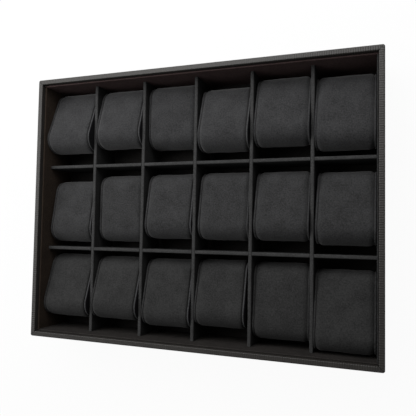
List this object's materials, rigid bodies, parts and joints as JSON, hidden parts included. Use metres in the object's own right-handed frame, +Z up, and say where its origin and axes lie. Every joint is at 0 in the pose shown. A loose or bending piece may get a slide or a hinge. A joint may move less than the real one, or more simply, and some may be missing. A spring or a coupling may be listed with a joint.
{
  "type": "watch display tray",
  "caption": "Shallow leatherette-wrapped tray with a suede-lined inside, cross-lapped dividers and a lift-out watch pillow in every compartment.",
  "frame": {"origin": "centre of the underside", "axes": "+X along the long side to the right, +Y from the front wall to the back wall, +Z up out of the tray"},
  "size_m": [0.35, 0.271, 0.06],
  "materials": {
    "leatherette": "fine grain, satin",
    "underside felt": "felt",
    "board": "raw fibreboard",
    "suede lining": "short nap",
    "pillow suede": "short nap",
    "pillow end suede": "short nap"
  },
  "bodies": {
    "tray": {"leatherette_wrap": "leatherette", "underside_felt": "underside felt", "base_board": "board", "wall_board_front": "board", "wall_board_back": "board", "wall_board_left": "board", "wall_board_right": "board", "liner_front": "suede lining", "liner_back": "suede lining", "liner_left": "suede lining", "liner_right": "suede lining", "floor_lining": "suede lining", "row_divider_1": "suede lining", "row_divider_2": "suede lining", "column_divider_1": "suede lining", "column_divider_2": "suede lining", "column_divider_3": "suede lining", "column_divider_4": "suede lining", "column_divider_5": "suede lining"},
    "pillow_r1c1": {"pillow_r1c1_cushion": "pillow suede", "pillow_r1c1_end_panels": "pillow end suede"},
    "pillow_r1c2": {"pillow_r1c2_cushion": "pillow suede", "pillow_r1c2_end_panels": "pillow end suede"},
    "pillow_r1c3": {"pillow_r1c3_cushion": "pillow suede", "pillow_r1c3_end_panels": "pillow end suede"},
    "pillow_r1c4": {"pillow_r1c4_cushion": "pillow suede", "pillow_r1c4_end_panels": "pillow end suede"},
    "pillow_r1c5": {"pillow_r1c5_cushion": "pillow suede", "pillow_r1c5_end_panels": "pillow end suede"},
    "pillow_r1c6": {"pillow_r1c6_cushion": "pillow suede", "pillow_r1c6_end_panels": "pillow end suede"},
    "pillow_r2c1": {"pillow_r2c1_cushion": "pillow suede", "pillow_r2c1_end_panels": "pillow end suede"},
    "pillow_r2c2": {"pillow_r2c2_cushion": "pillow suede", "pillow_r2c2_end_panels": "pillow end suede"},
    "pillow_r2c3": {"pillow_r2c3_cushion": "pillow suede", "pillow_r2c3_end_panels": "pillow end suede"},
    "pillow_r2c4": {"pillow_r2c4_cushion": "pillow suede", "pillow_r2c4_end_panels": "pillow end suede"},
    "pillow_r2c5": {"pillow_r2c5_cushion": "pillow suede", "pillow_r2c5_end_panels": "pillow end suede"},
    "pillow_r2c6": {"pillow_r2c6_cushion": "pillow suede", "pillow_r2c6_end_panels": "pillow end suede"},
    "pillow_r3c1": {"pillow_r3c1_cushion": "pillow suede", "pillow_r3c1_end_panels": "pillow end suede"},
    "pillow_r3c2": {"pillow_r3c2_cushion": "pillow suede", "pillow_r3c2_end_panels": "pillow end suede"},
    "pillow_r3c3": {"pillow_r3c3_cushion": "pillow suede", "pillow_r3c3_end_panels": "pillow end suede"},
    "pillow_r3c4": {"pillow_r3c4_cushion": "pillow suede", "pillow_r3c4_end_panels": "pillow end suede"},
    "pillow_r3c5": {"pillow_r3c5_cushion": "pillow suede", "pillow_r3c5_end_panels": "pillow end suede"},
    "pillow_r3c6": {"pillow_r3c6_cushion": "pillow suede", "pillow_r3c6_end_panels": "pillow end suede"}
  },
  "joints": [
    {"name": "lift_r1c1", "type": "slide", "parent": "tray", "child": "pillow_r1c1", "axis": [0, 0, 1], "range_m": [0, 0.06]},
    {"name": "lift_r1c2", "type": "slide", "parent": "tray", "child": "pillow_r1c2", "axis": [0, 0, 1], "range_m": [0, 0.06]},
    {"name": "lift_r1c3", "type": "slide", "parent": "tray", "child": "pillow_r1c3", "axis": [0, 0, 1], "range_m": [0, 0.06]},
    {"name": "lift_r1c4", "type": "slide", "parent": "tray", "child": "pillow_r1c4", "axis": [0, 0, 1], "range_m": [0, 0.06]},
    {"name": "lift_r1c5", "type": "slide", "parent": "tray", "child": "pillow_r1c5", "axis": [0, 0, 1], "range_m": [0, 0.06]},
    {"name": "lift_r1c6", "type": "slide", "parent": "tray", "child": "pillow_r1c6", "axis": [0, 0, 1], "range_m": [0, 0.06]},
    {"name": "lift_r2c1", "type": "slide", "parent": "tray", "child": "pillow_r2c1", "axis": [0, 0, 1], "range_m": [0, 0.06]},
    {"name": "lift_r2c2", "type": "slide", "parent": "tray", "child": "pillow_r2c2", "axis": [0, 0, 1], "range_m": [0, 0.06]},
    {"name": "lift_r2c3", "type": "slide", "parent": "tray", "child": "pillow_r2c3", "axis": [0, 0, 1], "range_m": [0, 0.06]},
    {"name": "lift_r2c4", "type": "slide", "parent": "tray", "child": "pillow_r2c4", "axis": [0, 0, 1], "range_m": [0, 0.06]},
    {"name": "lift_r2c5", "type": "slide", "parent": "tray", "child": "pillow_r2c5", "axis": [0, 0, 1], "range_m": [0, 0.06]},
    {"name": "lift_r2c6", "type": "slide", "parent": "tray", "child": "pillow_r2c6", "axis": [0, 0, 1], "range_m": [0, 0.06]},
    {"name": "lift_r3c1", "type": "slide", "parent": "tray", "child": "pillow_r3c1", "axis": [0, 0, 1], "range_m": [0, 0.06]},
    {"name": "lift_r3c2", "type": "slide", "parent": "tray", "child": "pillow_r3c2", "axis": [0, 0, 1], "range_m": [0, 0.06]},
    {"name": "lift_r3c3", "type": "slide", "parent": "tray", "child": "pillow_r3c3", "axis": [0, 0, 1], "range_m": [0, 0.06]},
    {"name": "lift_r3c4", "type": "slide", "parent": "tray", "child": "pillow_r3c4", "axis": [0, 0, 1], "range_m": [0, 0.06]},
    {"name": "lift_r3c5", "type": "slide", "parent": "tray", "child": "pillow_r3c5", "axis": [0, 0, 1], "range_m": [0, 0.06]},
    {"name": "lift_r3c6", "type": "slide", "parent": "tray", "child": "pillow_r3c6", "axis": [0, 0, 1], "range_m": [0, 0.06]}
  ]
}
